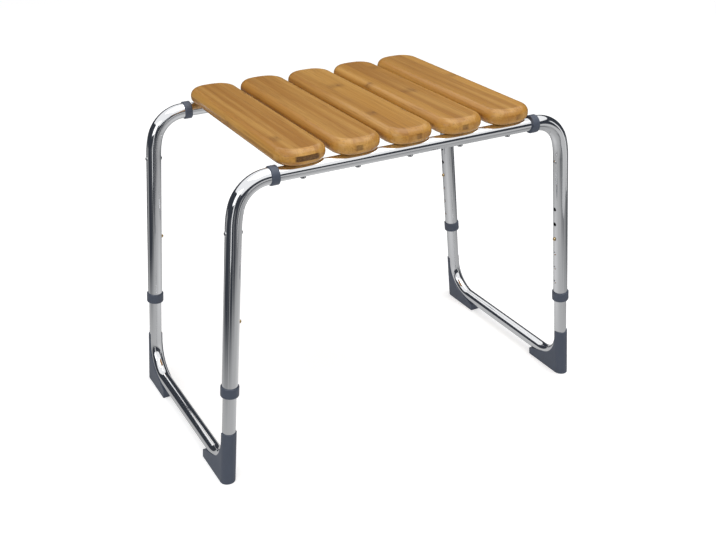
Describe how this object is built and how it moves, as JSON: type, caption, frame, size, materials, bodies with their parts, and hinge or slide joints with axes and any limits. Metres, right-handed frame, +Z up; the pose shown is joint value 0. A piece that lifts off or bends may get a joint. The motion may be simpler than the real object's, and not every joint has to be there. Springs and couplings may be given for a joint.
{
  "type": "adjustable bath stool",
  "caption": "Bath stool with a slatted wood seat on bent chromed tube legs. U-shaped lower frames slide in the legs and lock with snap buttons to set the height.",
  "frame": {"origin": "on the floor, in the middle of the feet", "axes": "+X along the seat rails, towards the right, -Y to the front, along the slats, +Z up"},
  "size_m": [0.6078, 0.346, 0.4695],
  "materials": {
    "bamboo": "satin lacquered bamboo",
    "chrome": "bright chromed steel tube",
    "slate_plastic": "smooth moulded plastic with a soft sheen",
    "button_brass": "polished",
    "spring_steel": "plain spring strip",
    "screw_steel": "plated"
  },
  "bodies": {
    "seat_frame": {"slat_1": "bamboo", "slat_2": "bamboo", "slat_3": "bamboo", "slat_4": "bamboo", "slat_5": "bamboo", "front_rail": "chrome", "front_slat_screws": "screw_steel", "rear_rail": "chrome", "rear_slat_screws": "screw_steel", "left_leg_rivets": "screw_steel", "right_leg_rivets": "screw_steel", "front_left_leg": "chrome", "front_left_rail_collar": "slate_plastic", "front_left_leg_collar": "slate_plastic", "rear_left_leg": "chrome", "rear_left_rail_collar": "slate_plastic", "rear_left_leg_collar": "slate_plastic", "front_right_leg": "chrome", "front_right_rail_collar": "slate_plastic", "front_right_leg_collar": "slate_plastic", "rear_right_leg": "chrome", "rear_right_rail_collar": "slate_plastic", "rear_right_leg_collar": "slate_plastic"},
    "left_frame": {"left_lower_frame": "chrome", "front_left_foot": "slate_plastic", "front_left_button_spring": "spring_steel", "rear_left_foot": "slate_plastic", "rear_left_button_spring": "spring_steel"},
    "front_left_snap": {"front_left_button": "button_brass"},
    "rear_left_snap": {"rear_left_button": "button_brass"},
    "right_frame": {"right_lower_frame": "chrome", "front_right_foot": "slate_plastic", "front_right_button_spring": "spring_steel", "rear_right_foot": "slate_plastic", "rear_right_button_spring": "spring_steel"},
    "front_right_snap": {"front_right_button": "button_brass"},
    "rear_right_snap": {"rear_right_button": "button_brass"}
  },
  "joints": [
    {"name": "left_height", "type": "slide", "parent": "seat_frame", "child": "left_frame", "axis": [0.0924, 0, 0.9957], "range_m": [-0.075, 0.05], "deforming": ["front_left_button", "rear_left_button"]},
    {"name": "front_left_press", "type": "slide", "parent": "left_frame", "child": "front_left_snap", "axis": [-0.9957, 0, 0.0924], "range_m": [0, 0.0045], "stiffness_N_per_m": 1200, "springref_m": -0.003, "deforming": ["front_left_button_spring"]},
    {"name": "rear_left_press", "type": "slide", "parent": "left_frame", "child": "rear_left_snap", "axis": [-0.9957, 0, 0.0924], "range_m": [0, 0.0045], "stiffness_N_per_m": 1200, "springref_m": -0.003, "deforming": ["rear_left_button_spring"]},
    {"name": "right_height", "type": "slide", "parent": "seat_frame", "child": "right_frame", "axis": [-0.0924, 0, 0.9957], "range_m": [-0.075, 0.05], "deforming": ["front_right_button", "rear_right_button"]},
    {"name": "front_right_press", "type": "slide", "parent": "right_frame", "child": "front_right_snap", "axis": [0.9957, 0, 0.0924], "range_m": [0, 0.0045], "stiffness_N_per_m": 1200, "springref_m": -0.003, "deforming": ["front_right_button_spring"]},
    {"name": "rear_right_press", "type": "slide", "parent": "right_frame", "child": "rear_right_snap", "axis": [0.9957, 0, 0.0924], "range_m": [0, 0.0045], "stiffness_N_per_m": 1200, "springref_m": -0.003, "deforming": ["rear_right_button_spring"]}
  ]
}
